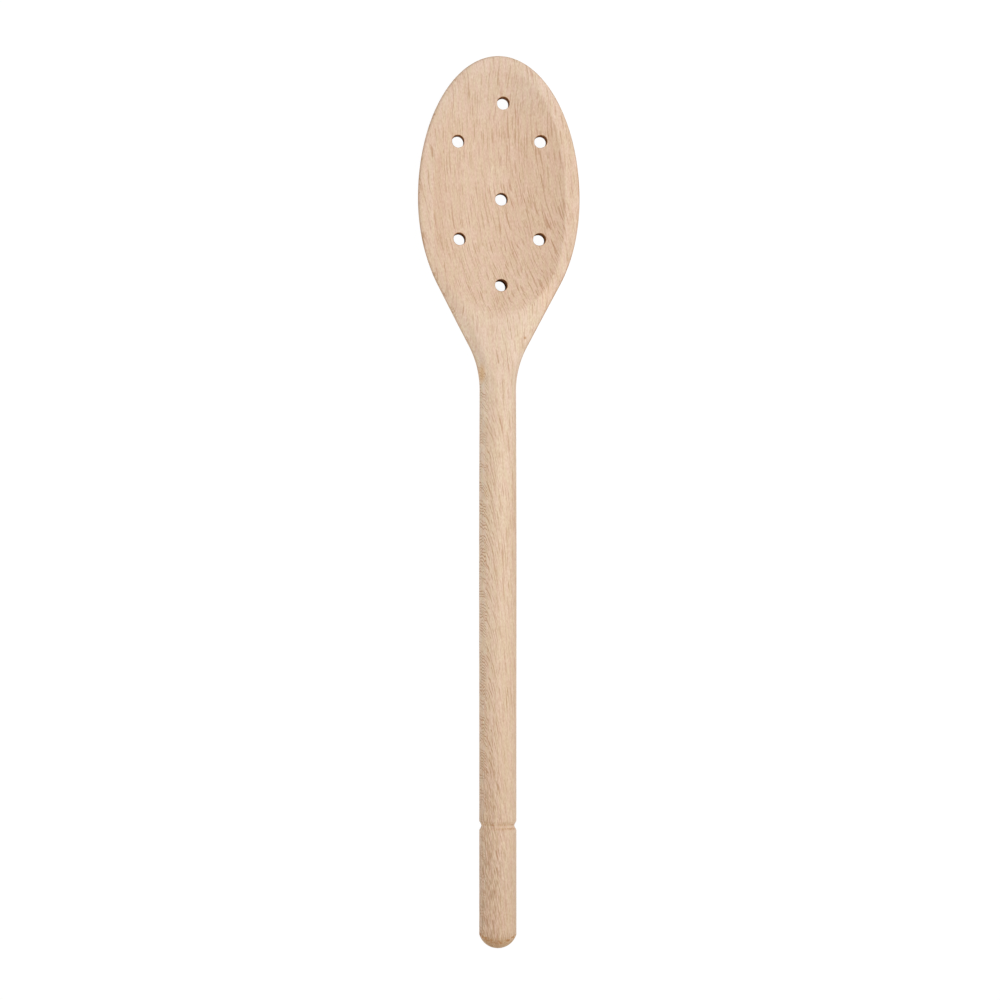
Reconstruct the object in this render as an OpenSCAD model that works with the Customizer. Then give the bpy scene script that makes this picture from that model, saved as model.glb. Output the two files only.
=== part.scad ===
// Perforated serving spoon, turned and carved from one piece of beech.
// It lies face up: +Y runs from the butt of the handle to the tip of the head, +Z points out
// of the bowl, and Z = 0 is the table, which the back of the head and the grip both touch.

/* [Overall] */
// Length from the butt of the handle to the tip of the head
overall_length = 300; // [250:5:400]

/* [Head] */
// Width of the head at its widest line
head_w = 54.7; // [46:0.1:66]
// From the widest line to the tip
tip_reach = 48.2; // [40:0.1:60]
// Half axis of the ellipse that the head follows from the widest line towards the handle
heel_reach = 44.6; // [38:0.1:60]
// Angle between the straight flank and the long axis
flank_angle = 27.8; // [22:0.1:34]
// Radius of the hollow curve that leads from the flank into the handle
neck_r = 31; // [15:1:60]
// Radius of the rounded upper edge
edge_r = 1.1; // [0.6:0.1:3]
// From the widest line back to where the face starts to fall away to its edge
shoulder_start = 18; // [12:0.5:30]
// How far the face falls away to its edge, where that is most, beside the heel of the bowl
shoulder_fall = 2.7; // [0.5:0.1:4]
// How far in from the outline the face starts to fall away there
shoulder_w = 8; // [4:0.5:9]
// Thickness of the wood at the tip, before its nose is rounded
tip_t = 5.2; // [4:0.1:7]
// Length over which the nose is rounded upwards from below
nose_len = 14; // [6:0.5:25]
// How far the flat face lies below the top of the handle
face_drop = 1.2; // [0.4:0.1:2]

/* [Bowl] */
// Greatest depth of the bowl below the face
bowl_depth = 5.5; // [4.5:0.1:6.5]
// Thickness of the wood under the bowl, at the head's widest line
floor_t = 4.4; // [3:0.1:6]
// How much lower the back goes on to its deepest point, behind that line
belly_drop = 1.35; // [0.5:0.05:2]
// Width of the rim at the head's widest line
rim_w = 4.75; // [3.5:0.05:8]
// Width of the rim at the tip
tip_rim_w = 4.2; // [3:0.1:8]
// From the head's widest line back to the heel of the bowl
bowl_heel_reach = 39.3; // [30:0.1:42]

/* [Drain holes] */
// Diameter of each drain hole
hole_d = 4.2; // [3:0.1:6]

/* [Handle] */
// Diameter where the neck runs into the handle
neck_d = 12.3; // [10:0.1:16]
// Diameter where the grip is thickest
grip_d = 12.6; // [10:0.1:17]
// Diameter of the butt, and of the handle at the groove
butt_d = 12.45; // [10:0.05:16]
// From the end of the butt to the middle of the groove
groove_place = 41; // [25:0.5:80]
// Width of the turned groove
groove_w = 3; // [2:0.1:6]
// Depth of the turned groove
groove_depth = 0.7; // [0.3:0.05:1.5]
// Radius of the narrow floor of the groove
groove_floor_r = 0.4; // [0.2:0.05:0.8]
// How much more than a half ball the dome of the butt is flattened
dome_spread = 0.3; // [0.05:0.05:1]

/* [Hidden] */

beech = [0.87, 0.76, 0.66];

// Levels above the table. The grip touches it, and so does the deepest point of the back.
belly_under_axis = bowl_depth + floor_t + belly_drop + face_drop - neck_d / 2;
handle_axis_z = max(max(grip_d, butt_d, neck_d) / 2, belly_under_axis);
belly_z = handle_axis_z - belly_under_axis;
handle_top_z = handle_axis_z + neck_d / 2;
neck_under_z = handle_axis_z - neck_d / 2;
face_z = handle_top_z - face_drop;

// Places along the spoon. Most are distances s behind the widest line of the head.
tip_y = overall_length / 2;
widest_y = tip_y - tip_reach;
neck_half = neck_d / 2;
head_half = head_w / 2;

// The flank leaves the heel's ellipse where the two have the same slope
flank_slope = tan(flank_angle);
slope_share = flank_slope * heel_reach / head_half;
flank_start = heel_reach * slope_share / sqrt(1 + slope_share * slope_share);
flank_start_half = head_half * sqrt(1 - pow(flank_start / heel_reach, 2));
corner = flank_start + (flank_start_half - neck_half) / flank_slope;
fillet_reach = neck_r * tan(flank_angle / 2);
fillet_start = corner - fillet_reach * cos(flank_angle);
fillet_end = corner + fillet_reach;

// The flat face turns into the round handle between the heel of the bowl and the neck's end
heel_land_share = 0.2;
turn_start = bowl_heel_reach + heel_land_share * (fillet_end - bowl_heel_reach);

// Where the shoulder is fullest, as a share of the way to the neck's end
shoulder_share = 0.6;
shoulder_end = shoulder_start + shoulder_share * (fillet_end - shoulder_start);

// From its deepest point the back rises past the floor of the bowl to the tip, and a little
// towards the neck
belly_share = 0.85;
keel_start = belly_share * bowl_heel_reach;
keel_len = keel_start + tip_reach;
keel_floor_share = keel_start / keel_len;
keel_tip_rise = face_z - tip_t - belly_z;
keel_cubic = (keel_tip_rise - belly_drop / pow(keel_floor_share, 2)) / (1 - keel_floor_share);
keel_square = keel_tip_rise - keel_cubic;

// How round the back of the head is: a half is an ellipse, and one a parabola
back_power = 0.62;
handle_power = 0.5;

// The bowl is an egg-shaped dish with a superellipse for its rim
bowl_squareness = 2.25;
bowl_wall_power = 2.1;
bowl_centre = 3;
bowl_half = head_half - rim_w;
bowl_tip_len = tip_reach - tip_rim_w + bowl_centre;
bowl_heel_len = bowl_heel_reach - bowl_centre;

// Drain holes: places across and along the bowl, as shares of its half width and of its reach
// towards the tip (positive) or the heel (negative)
hole_place_shares = [
    [0.07, 0.755],
    [-0.605, 0.476], [0.633, 0.482],
    [0.056, 0.071],
    [-0.58, -0.29], [0.618, -0.287],
    [0.042, -0.719]
];

// Fineness of the carved surfaces
tip_steps = 16;
heel_steps = 26;
ring_steps = 52;
bowl_rings = 11;
bowl_steps = 52;
grip_steps = 10;
dome_steps = 14;
groove_steps = 5;

// The carved neck ends inside the turned handle, a hair under its surface
seat_gap = 0.02;
neck_stub = 2;
handle_start = fillet_end + neck_stub / 4;
overrun = 1;
slope_probe = 0.01;
centre_guard = 0.001;

function mix(a, b, share) = a + (b - a) * share;
function clamp01(t) = min(max(t, 0), 1);
function smooth(t) = let (c = clamp01(t)) c * c * (3 - 2 * c);
function power_of(base, exponent) = base <= 0 ? 0 : pow(base, exponent);

// Half width of the outline at a distance s behind the widest line
function half_width(s) =
    s <= -tip_reach ? 0 :
    s <= 0 ? head_half * sqrt(1 - pow(s / tip_reach, 2)) :
    s <= flank_start ? head_half * sqrt(1 - pow(s / heel_reach, 2)) :
    s <= fillet_start ? flank_start_half - (s - flank_start) * flank_slope :
    s <= fillet_end ? neck_half + neck_r - sqrt(pow(neck_r, 2) - pow(fillet_end - s, 2)) :
    neck_half;

// Half width times its rate of change along s
function width_drift(s) =
    (pow(half_width(s + slope_probe), 2) - pow(half_width(s - slope_probe), 2)) / (4 * slope_probe);

// How far the section has turned from the flat head, 0, to the round handle, 1
function turned(s) = smooth((s - turn_start) / (fillet_end - turn_start));

// Distance from a point of the face to the outline
function edge_distance(x, s) =
    let (
        w = half_width(s),
        drift = width_drift(s),
        by_outline = (w * w - x * x) / (2 * max(norm([x, drift]), centre_guard)),
        slope = drift / max(w, centre_guard),
        by_section = (w - abs(x)) / sqrt(1 + slope * slope)
    )
    mix(by_outline, by_section, turned(s));

function rounding(s) = mix(edge_r, neck_half, turned(s));
function top_level(s) = mix(face_z, handle_top_z, turned(s));

// The face falls away to its edge along the shoulders: how far down, and from how far in
function shoulder(s) = smooth((s - shoulder_start) / (shoulder_end - shoulder_start));
function fall(s) = shoulder_fall * shoulder(s) * (1 - turned(s));
function fall_w(s) = mix(2 * edge_r, shoulder_w, shoulder(s));
function edge_level(s) = top_level(s) - fall(s) - rounding(s);

// Upper surface: the face, with its shoulders sloped and its edge rounded off
function upper_z(x, s) =
    let (
        in_from_edge = edge_distance(x, s),
        rounded = rounding(s) * (1 - sqrt(1 - pow(1 - clamp01(in_from_edge / rounding(s)), 2))),
        fallen = fall(s) * pow(1 - clamp01(in_from_edge / fall_w(s)), 2)
    )
    top_level(s) - fallen - rounded;

// Lowest line of the back
function keel_z(s) =
    let (v = max(keel_start - s, 0) / keel_len)
    s > keel_start ?
        mix(belly_z, neck_under_z, smooth((s - keel_start) / (fillet_end - keel_start))) :
        belly_z + keel_square * v * v + keel_cubic * v * v * v;

// Share of the full depth that is left where the nose is rounded up
function nose_share(s) =
    let (forward = clamp01((s + tip_reach) / nose_len))
    sqrt(1 - pow(1 - forward, 2));

// Lower surface: the rounded back
function back_z(x, s) =
    let (
        across = x / max(half_width(s), centre_guard),
        depth = (edge_level(s) - keel_z(s)) * nose_share(s),
        roundness = mix(back_power, handle_power, turned(s))
    )
    edge_level(s) - depth * power_of(1 - across * across, roundness);

// One closed section of the head, seen from the handle
function section(s, inset) =
    [for (i = [0:ring_steps - 1])
        let (
            turn = 360 * i / ring_steps,
            w = half_width(s),
            x = w * cos(turn),
            z = sin(turn) > 0 ? upper_z(x, s) : back_z(x, s),
            kept = 1 - inset / neck_half
        )
        [x * kept, widest_y - s, mix(handle_axis_z, z, kept)]];

function tip_places() = [for (i = [1:tip_steps]) -tip_reach * cos(90 * i / tip_steps)];
function heel_places() = [for (i = [1:heel_steps - 1]) fillet_end * i / heel_steps];

// The head and neck, lofted through their sections from the tip to inside the handle
module carved_head() {
    places = concat(tip_places(), heel_places());
    tip = [0, tip_y, edge_level(-tip_reach)];
    rings = concat(
        [for (s = places) section(s, 0)],
        [section(fillet_end, seat_gap), section(fillet_end + neck_stub, seat_gap)]
    );
    count = len(rings);
    points = concat([tip], [for (ring = rings) for (p = ring) p]);
    function at(ring, i) = 1 + ring * ring_steps + i % ring_steps;
    nose = [for (i = [0:ring_steps - 1]) [0, at(0, i), at(0, i + 1)]];
    skin = [for (r = [0:count - 2]) for (i = [0:ring_steps - 1])
        each [[at(r, i), at(r + 1, i), at(r + 1, i + 1)], [at(r, i), at(r + 1, i + 1), at(r, i + 1)]]];
    stub = [[for (i = [ring_steps - 1:-1:0]) at(count - 1, i)]];
    polyhedron(points, concat(nose, skin, stub));
}

// One point of the bowl's surface, at a share out from its centre and an angle round it
function bowl_point(share, turn) =
    let (
        c = cos(turn),
        d = sin(turn),
        round_out = 2 / bowl_squareness,
        reach = d > 0 ? bowl_tip_len : bowl_heel_len
    )
    [
        share * bowl_half * sign(c) * power_of(abs(c), round_out),
        widest_y - bowl_centre + share * reach * sign(d) * power_of(abs(d), round_out),
        face_z - bowl_depth * (1 - pow(share, bowl_wall_power))
    ];

// What the bowl takes out of the face. Its wall runs on a little above the face.
module bowl_hollow() {
    past_rim_share = 1.1;
    shares = [for (k = [1:bowl_rings]) past_rim_share * pow(k / bowl_rings, 0.8)];
    rings = [for (share = shares) [for (i = [0:bowl_steps - 1]) bowl_point(share, 360 * i / bowl_steps)]];
    points = concat([bowl_point(0, 0)], [for (ring = rings) for (p = ring) p]);
    function at(ring, i) = 1 + ring * bowl_steps + i % bowl_steps;
    floor_faces = [for (i = [0:bowl_steps - 1]) [0, at(0, i), at(0, i + 1)]];
    wall = [for (r = [0:bowl_rings - 2]) for (i = [0:bowl_steps - 1])
        each [[at(r, i), at(r + 1, i), at(r + 1, i + 1)], [at(r, i), at(r + 1, i + 1), at(r, i + 1)]]];
    lid = [[for (i = [bowl_steps - 1:-1:0]) at(bowl_rings - 1, i)]];
    polyhedron(points, concat(floor_faces, wall, lid));
}

// Where a drain hole goes, from its shares of the bowl
function hole_place(share) = [
    share[0] * bowl_half,
    widest_y - bowl_centre + share[1] * (share[1] > 0 ? bowl_tip_len : bowl_heel_len)
];

module drain_holes() {
    for (share = hole_place_shares)
        translate([hole_place(share)[0], hole_place(share)[1], -overrun])
            cylinder(h = face_z + 2 * overrun, d = hole_d, $fn = 48);
}

// The turned handle's outline, as radius and distance from the neck towards the butt
handle_len = overall_length - tip_reach - handle_start;
groove_at = handle_len - groove_place;
dome_r = butt_d / 2 + dome_spread;
dome_len = dome_r - sqrt(pow(dome_r, 2) - pow(butt_d / 2, 2));

// The grip swells soon after the neck and draws in again slowly towards the groove
swell_lead = 0.7;
function grip_radius(share) =
    let (swell = grip_d - (neck_d + butt_d) / 2)
    mix(neck_d, butt_d, share) / 2 + swell / 2 * pow(sin(180 * pow(share, swell_lead)), 2);

function grip_outline() =
    let (len = groove_at - groove_w / 2)
    [for (i = [0:grip_steps]) [grip_radius(i / grip_steps), len * i / grip_steps]];

// A V with eased lips and a narrow round floor
function groove_outline() =
    [for (i = [1:groove_steps * 2 - 1])
        let (
            along = (i / groove_steps - 1) * groove_w / 2,
            steep = groove_w / 2,
            soft = sqrt(pow(along, 2) + pow(groove_floor_r, 2)) - groove_floor_r,
            full = sqrt(pow(steep, 2) + pow(groove_floor_r, 2)) - groove_floor_r
        )
        [butt_d / 2 - groove_depth * (1 - soft / full), groove_at + along]];

function butt_outline() =
    [[butt_d / 2, groove_at + groove_w / 2], [butt_d / 2, handle_len - dome_len]];

function dome_outline() =
    let (widest = asin(butt_d / 2 / dome_r))
    [for (i = [1:dome_steps])
        let (turn = widest * (1 - i / dome_steps))
        [dome_r * sin(turn), handle_len - dome_r + dome_r * cos(turn)]];

module turned_handle() {
    outline = concat([[0, 0]], grip_outline(), groove_outline(), butt_outline(), dome_outline());
    translate([0, widest_y - handle_start, handle_axis_z])
        rotate([90, 0, 0])
            rotate_extrude($fn = 72)
                polygon(outline);
}

module spoon() {
    color(beech)
        difference() {
            union() {
                turned_handle();
                carved_head();
            }
            bowl_hollow();
            drain_holes();
        }
}

spoon();
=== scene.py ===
"""A perforated serving spoon, turned and carved from one piece of beech, seen from above."""

import math

import bmesh
import bpy
from mathutils import Matrix, Vector


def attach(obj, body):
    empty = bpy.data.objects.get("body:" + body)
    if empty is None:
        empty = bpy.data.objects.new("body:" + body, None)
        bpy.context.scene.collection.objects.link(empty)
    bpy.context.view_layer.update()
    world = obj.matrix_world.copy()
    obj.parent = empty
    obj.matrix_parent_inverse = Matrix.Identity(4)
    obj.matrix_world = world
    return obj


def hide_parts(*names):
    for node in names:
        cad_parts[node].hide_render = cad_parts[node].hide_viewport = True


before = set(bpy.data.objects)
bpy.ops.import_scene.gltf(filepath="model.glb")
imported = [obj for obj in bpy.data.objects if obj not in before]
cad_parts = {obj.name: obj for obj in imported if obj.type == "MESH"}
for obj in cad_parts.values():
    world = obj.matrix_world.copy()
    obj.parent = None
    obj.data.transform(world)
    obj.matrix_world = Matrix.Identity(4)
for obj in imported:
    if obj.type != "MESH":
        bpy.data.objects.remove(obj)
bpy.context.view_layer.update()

MM = 0.001

# Sizes of the spoon, in mm

OVERALL_LENGTH = 300.0
HEAD_W = 54.7
TIP_REACH = 48.2
HEEL_REACH = 44.6
FLANK_ANGLE = math.radians(27.8)
NECK_R = 31.0
EDGE_R = 1.1
SHOULDER_START = 18.0
SHOULDER_FALL = 2.7
SHOULDER_W = 8.0
TIP_T = 5.2
NOSE_LEN = 14.0
FACE_DROP = 1.2
BOWL_DEPTH = 5.5
FLOOR_T = 4.4
BELLY_DROP = 1.35
RIM_W = 4.75
TIP_RIM_W = 4.2
BOWL_HEEL_REACH = 39.3
HOLE_D = 4.2
NECK_D = 12.3
GRIP_D = 12.6
BUTT_D = 12.45
GROOVE_PLACE = 41.0
GROOVE_W = 3.0
GROOVE_DEPTH = 0.7
GROOVE_FLOOR_R = 0.4
DOME_SPREAD = 0.3

BACK_POWER = 0.62
HANDLE_POWER = 0.5
BOWL_SQUARENESS = 2.25
BOWL_WALL_POWER = 2.1
BOWL_CENTRE = 3.0
HEEL_LAND_SHARE = 0.2
BELLY_SHARE = 0.85
SWELL_LEAD = 0.7
SHOULDER_SHARE = 0.6
HOLE_PLACE_SHARES = [
    (0.07, 0.755),
    (-0.605, 0.476), (0.633, 0.482),
    (0.056, 0.071),
    (-0.58, -0.29), (0.618, -0.287),
    (0.042, -0.719),
]

# Softened edges that only the dressed spoon has
BOWL_LIP = 0.22
HOLE_LIP = 0.2
GROOVE_LIP = 0.06

# What follows from the sizes

TIP_Y = OVERALL_LENGTH / 2
WIDEST_Y = TIP_Y - TIP_REACH
NECK_HALF = NECK_D / 2
HEAD_HALF = HEAD_W / 2
BELLY_UNDER_AXIS = BOWL_DEPTH + FLOOR_T + BELLY_DROP + FACE_DROP - NECK_HALF
AXIS_Z = max(GRIP_D / 2, BUTT_D / 2, NECK_HALF, BELLY_UNDER_AXIS)
BELLY_Z = AXIS_Z - BELLY_UNDER_AXIS
HANDLE_TOP_Z = AXIS_Z + NECK_HALF
NECK_UNDER_Z = AXIS_Z - NECK_HALF
FACE_Z = HANDLE_TOP_Z - FACE_DROP

FLANK_SLOPE = math.tan(FLANK_ANGLE)
SLOPE_SHARE = FLANK_SLOPE * HEEL_REACH / HEAD_HALF
FLANK_START = HEEL_REACH * SLOPE_SHARE / math.sqrt(1 + SLOPE_SHARE ** 2)
FLANK_START_HALF = HEAD_HALF * math.sqrt(1 - (FLANK_START / HEEL_REACH) ** 2)
CORNER = FLANK_START + (FLANK_START_HALF - NECK_HALF) / FLANK_SLOPE
FILLET_REACH = NECK_R * math.tan(FLANK_ANGLE / 2)
FILLET_START = CORNER - FILLET_REACH * math.cos(FLANK_ANGLE)
FILLET_END = CORNER + FILLET_REACH
TURN_START = BOWL_HEEL_REACH + HEEL_LAND_SHARE * (FILLET_END - BOWL_HEEL_REACH)
SHOULDER_END = SHOULDER_START + SHOULDER_SHARE * (FILLET_END - SHOULDER_START)

KEEL_START = BELLY_SHARE * BOWL_HEEL_REACH
KEEL_LEN = KEEL_START + TIP_REACH
KEEL_FLOOR_SHARE = KEEL_START / KEEL_LEN
KEEL_TIP_RISE = FACE_Z - TIP_T - BELLY_Z
KEEL_CUBIC = (KEEL_TIP_RISE - BELLY_DROP / KEEL_FLOOR_SHARE ** 2) / (1 - KEEL_FLOOR_SHARE)
KEEL_SQUARE = KEEL_TIP_RISE - KEEL_CUBIC

BOWL_HALF = HEAD_HALF - RIM_W
BOWL_TIP_LEN = TIP_REACH - TIP_RIM_W + BOWL_CENTRE
BOWL_HEEL_LEN = BOWL_HEEL_REACH - BOWL_CENTRE
BOWL_Y = WIDEST_Y - BOWL_CENTRE

HANDLE_LEN = OVERALL_LENGTH - TIP_REACH - FILLET_END
GROOVE_AT = HANDLE_LEN - GROOVE_PLACE
GROOVE_Y = GROOVE_PLACE - TIP_Y
DOME_R = BUTT_D / 2 + DOME_SPREAD
DOME_LEN = DOME_R - math.sqrt(DOME_R ** 2 - (BUTT_D / 2) ** 2)


def mix(a, b, share):
    return a + (b - a) * share


def clamp01(t):
    return min(max(t, 0.0), 1.0)


def smooth(t):
    c = clamp01(t)
    return c * c * (3 - 2 * c)


# The carved surfaces, in mm. A place s is a distance behind the head's widest line

SLOPE_STEP = 0.01
LEAST = 1e-3


def half_width(s):
    """Half width of the outline at s."""
    if s <= -TIP_REACH:
        return 0.0
    if s <= 0:
        return HEAD_HALF * math.sqrt(1 - (s / TIP_REACH) ** 2)
    if s <= FLANK_START:
        return HEAD_HALF * math.sqrt(1 - (s / HEEL_REACH) ** 2)
    if s <= FILLET_START:
        return FLANK_START_HALF - (s - FLANK_START) * FLANK_SLOPE
    if s <= FILLET_END:
        return NECK_HALF + NECK_R - math.sqrt(NECK_R ** 2 - (FILLET_END - s) ** 2)
    return NECK_HALF


def width_drift(s):
    """Half width times its rate of change along s."""
    return (half_width(s + SLOPE_STEP) ** 2 - half_width(s - SLOPE_STEP) ** 2) / (4 * SLOPE_STEP)


def turned(s):
    """0 on the flat head, 1 on the round handle."""
    return smooth((s - TURN_START) / (FILLET_END - TURN_START))


def rounding(s):
    """Radius of the upper edge."""
    return mix(EDGE_R, NECK_HALF, turned(s))


def shoulder(s):
    """0 where the face is level out to its edge, 1 where it falls away the most."""
    return smooth((s - SHOULDER_START) / (SHOULDER_END - SHOULDER_START))


def fall(s):
    """How far the face falls away to its edge."""
    return SHOULDER_FALL * shoulder(s) * (1 - turned(s))


def fall_width(s):
    """How far in from the outline the face starts to fall away."""
    return mix(2 * EDGE_R, SHOULDER_W, shoulder(s))


def top_level(s):
    """Height of the middle of the upper side, before the bowl is scooped out."""
    return mix(FACE_Z, HANDLE_TOP_Z, turned(s))


def edge_level(s):
    """Height of the outline."""
    return top_level(s) - fall(s) - rounding(s)


def edge_distance(x, s):
    """Distance from a point of the face to the outline."""
    w, drift = half_width(s), width_drift(s)
    by_outline = (w * w - x * x) / (2 * max(math.hypot(x, drift), LEAST))
    slope = drift / max(w, LEAST)
    by_section = (w - abs(x)) / math.sqrt(1 + slope * slope)
    return mix(by_outline, by_section, turned(s))


def face_z(x, s):
    """The face of the head with its shoulders and its rounded edge, before the bowl is scooped out."""
    inward = edge_distance(x, s)
    rounded = rounding(s) * (1 - math.sqrt(max(1 - (1 - clamp01(inward / rounding(s))) ** 2, 0)))
    fallen = fall(s) * (1 - clamp01(inward / fall_width(s))) ** 2
    return top_level(s) - fallen - rounded


def bowl_reach(y):
    """Length of the bowl from its centre to its end, on the side of the centre that y is on."""
    return BOWL_TIP_LEN if y > BOWL_Y else BOWL_HEEL_LEN


def bowl_share(x, y):
    """How far out in the bowl a point is: 0 at its centre and 1 on its rim."""
    q = BOWL_SQUARENESS
    return ((abs(x) / BOWL_HALF) ** q + (abs(y - BOWL_Y) / bowl_reach(y)) ** q) ** (1 / q)


def top_z(x, s):
    """Upper surface with the bowl in it, its lip eased."""
    face = face_z(x, s)
    dish = FACE_Z - BOWL_DEPTH * (1 - bowl_share(x, WIDEST_Y - s) ** BOWL_WALL_POWER)
    near = max(BOWL_LIP - abs(face - dish), 0) / BOWL_LIP
    return min(face, dish) - near * near * BOWL_LIP / 4


def keel_z(s):
    """Lowest line of the back."""
    if s > KEEL_START:
        return mix(BELLY_Z, NECK_UNDER_Z, smooth((s - KEEL_START) / (FILLET_END - KEEL_START)))
    v = (KEEL_START - s) / KEEL_LEN
    return BELLY_Z + KEEL_SQUARE * v * v + KEEL_CUBIC * v ** 3


def back_z(x, s):
    """The rounded back of the head."""
    across = clamp01(abs(x) / max(half_width(s), 1e-6))
    nose = math.sqrt(1 - (1 - clamp01((s + TIP_REACH) / NOSE_LEN)) ** 2)
    depth = (edge_level(s) - keel_z(s)) * nose
    return edge_level(s) - depth * (1 - across * across) ** mix(BACK_POWER, HANDLE_POWER, turned(s))


def handle_radius(along):
    """Radius of the turned handle at a distance from the end of the neck."""
    grip_len = GROOVE_AT - GROOVE_W / 2
    if along <= grip_len:
        share = along / grip_len
        swell = GRIP_D - (NECK_D + BUTT_D) / 2
        return mix(NECK_D, BUTT_D, share) / 2 + swell / 2 * math.sin(math.pi * share ** SWELL_LEAD) ** 2
    if along >= HANDLE_LEN - DOME_LEN:
        rise = along - (HANDLE_LEN - DOME_R)
        return math.sqrt(max(DOME_R ** 2 - rise ** 2, 0))
    return BUTT_D / 2


def groove_cut(along):
    """How deep the V groove is at a place along the handle, with its lips eased."""
    off = abs(along - GROOVE_AT)
    soft = math.hypot(off, GROOVE_FLOOR_R) - GROOVE_FLOOR_R
    full = math.hypot(GROOVE_W / 2, GROOVE_FLOOR_R) - GROOVE_FLOOR_R
    depth = GROOVE_DEPTH * (1 - soft / full)
    near = max(GROOVE_LIP - abs(depth), 0) / GROOVE_LIP
    return max(depth, 0) + near * near * GROOVE_LIP / 4


# How closely the surfaces are drawn: rows and columns of the sheet, with distances in mm

EDGE_STEPS = 11
RIM_STEPS = 6
LIP_STEPS = 8
DISH_STEPS = 34
BACK_STEPS = 64
LIP_ZONE = 0.8
LIP_RIM_SHARE = 0.4
LIP_LAND_SHARE = 0.45
EDGE_ZONE = 2.6
EDGE_LAND_SHARE = 0.5
EDGE_WIDTH_SHARE = 0.12
EDGE_MOST = 0.9
RIM_MOST = 0.86
STAND_IN_RIM = 2.0
STAND_IN_SPREAD = 0.9

TIP_STEP = 0.015
RIM_STEP = 0.12
LONGEST_STEP = 0.62
STEP_GROWTH = 0.3

GRIP_STEPS = 60
GROOVE_STEPS = 40
GROOVE_MARGIN = 0.6
BUTT_STEPS = 12
DOME_STEPS = 24

HOLE_FACETS = 72
FLARE_STEPS = 6
FLARE_TURN = math.radians(75)
CUTTER_SPARE = 1.0


def rim_half(s):
    """Half width of the bowl at s, or of the stand-in for it beyond the bowl's ends."""
    y = WIDEST_Y - s
    left = 1 - (abs(y - BOWL_Y) / bowl_reach(y)) ** BOWL_SQUARENESS
    real = BOWL_HALF * left ** (1 / BOWL_SQUARENESS) if left > 0 else 0
    if real >= STAND_IN_RIM:
        return real
    beyond = max(abs(y - BOWL_Y) - bowl_reach(y), 0)
    return max(real, min(STAND_IN_RIM + STAND_IN_SPREAD * beyond, half_width(s) / 2))


def across_places(s):
    """Places across the upper side, from the right edge to the left."""
    w = half_width(s)
    rim = min(rim_half(s), RIM_MOST * w)
    zone = min(LIP_ZONE, LIP_RIM_SHARE * rim, LIP_LAND_SHARE * (w - rim))
    land = w - rim - zone
    edge = max(EDGE_ZONE, rounding(s), fall_width(s))
    edge = min(edge, EDGE_LAND_SHARE * land + EDGE_WIDTH_SHARE * w, EDGE_MOST * land)
    inner = w - edge
    right = [inner + (w - inner) * math.cos(math.pi / 2 * i / EDGE_STEPS) for i in range(EDGE_STEPS)]
    right += [mix(inner, rim + zone, i / RIM_STEPS) for i in range(RIM_STEPS)]
    right += [mix(rim + zone, rim - zone, i / LIP_STEPS) for i in range(LIP_STEPS)]
    right += [mix(rim - zone, 0, i / DISH_STEPS) for i in range(DISH_STEPS)]
    return right + [0.0] + [-x for x in reversed(right)]


def stations():
    """Places s along the head and neck, closer together at the ends of the bowl and at the tip."""
    fine_at = [(-TIP_REACH, TIP_STEP), (TIP_RIM_W - TIP_REACH, RIM_STEP), (BOWL_HEEL_REACH, RIM_STEP)]
    places = []
    s = TIP_STEP - TIP_REACH
    while s < FILLET_END:
        places.append(s)
        s += min([LONGEST_STEP] + [fine + STEP_GROWTH * abs(s - at) for at, fine in fine_at])
    return places


def handle_places():
    """Distances from the neck along the handle."""
    groove_start = GROOVE_AT - GROOVE_W / 2 - GROOVE_MARGIN
    groove_len = GROOVE_W + 2 * GROOVE_MARGIN
    dome_start = HANDLE_LEN - DOME_LEN
    widest = math.asin(BUTT_D / 2 / DOME_R)
    places = [groove_start * i / GRIP_STEPS for i in range(GRIP_STEPS)]
    places += [groove_start + groove_len * i / GROOVE_STEPS for i in range(GROOVE_STEPS + 1)]
    groove_end = places[-1]
    places += [mix(groove_end, dome_start, i / BUTT_STEPS) for i in range(1, BUTT_STEPS + 1)]
    places += [HANDLE_LEN - DOME_R + DOME_R * math.cos(widest * (1 - i / DOME_STEPS))
               for i in range(1, DOME_STEPS + 1)]
    return places


# Modelling


def head_ring(s):
    """One section of the head, right round, as points in mm."""
    w = half_width(s)
    y = WIDEST_Y - s
    upper = [(x, y, top_z(x, s)) for x in across_places(s)]
    under = [-w * math.cos(math.pi * i / BACK_STEPS) for i in range(1, BACK_STEPS + 1)]
    return upper + [(x, y, back_z(x, s)) for x in under]


def spoon_rings():
    """Every section from the tip to the butt, with as many points in each."""
    neck = head_ring(FILLET_END)
    spokes = [(x / NECK_HALF, (z - AXIS_Z) / NECK_HALF) for x, y, z in neck]
    rings = [[(0.0, TIP_Y, edge_level(-TIP_REACH))] * len(neck)]
    rings += [head_ring(s) for s in stations()]
    for along in handle_places():
        r = handle_radius(along)
        if abs(along - GROOVE_AT) < GROOVE_W:
            r -= groove_cut(along)
        y = WIDEST_Y - FILLET_END - along
        rings.append([(r * cx, y, AXIS_Z + r * cz) for cx, cz in spokes])
    return rings


def roll_sheet(rings):
    """A grid sheet rolled round the spoon: each row goes to one ring, and the seam is closed."""
    rows, columns = len(rings), len(rings[0])
    sheet = bmesh.new()
    bmesh.ops.create_grid(sheet, x_segments=columns - 1, y_segments=rows - 1, size=0.5)
    sheet.verts.ensure_lookup_table()
    for vert in sheet.verts:
        column = round((vert.co.x + 0.5) * (columns - 1))
        row = round((vert.co.y + 0.5) * (rows - 1))
        vert.co = Vector(rings[row][column]) * MM
    bmesh.ops.remove_doubles(sheet, verts=sheet.verts, dist=1e-7)
    bmesh.ops.recalc_face_normals(sheet, faces=sheet.faces)
    return sheet


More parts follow.
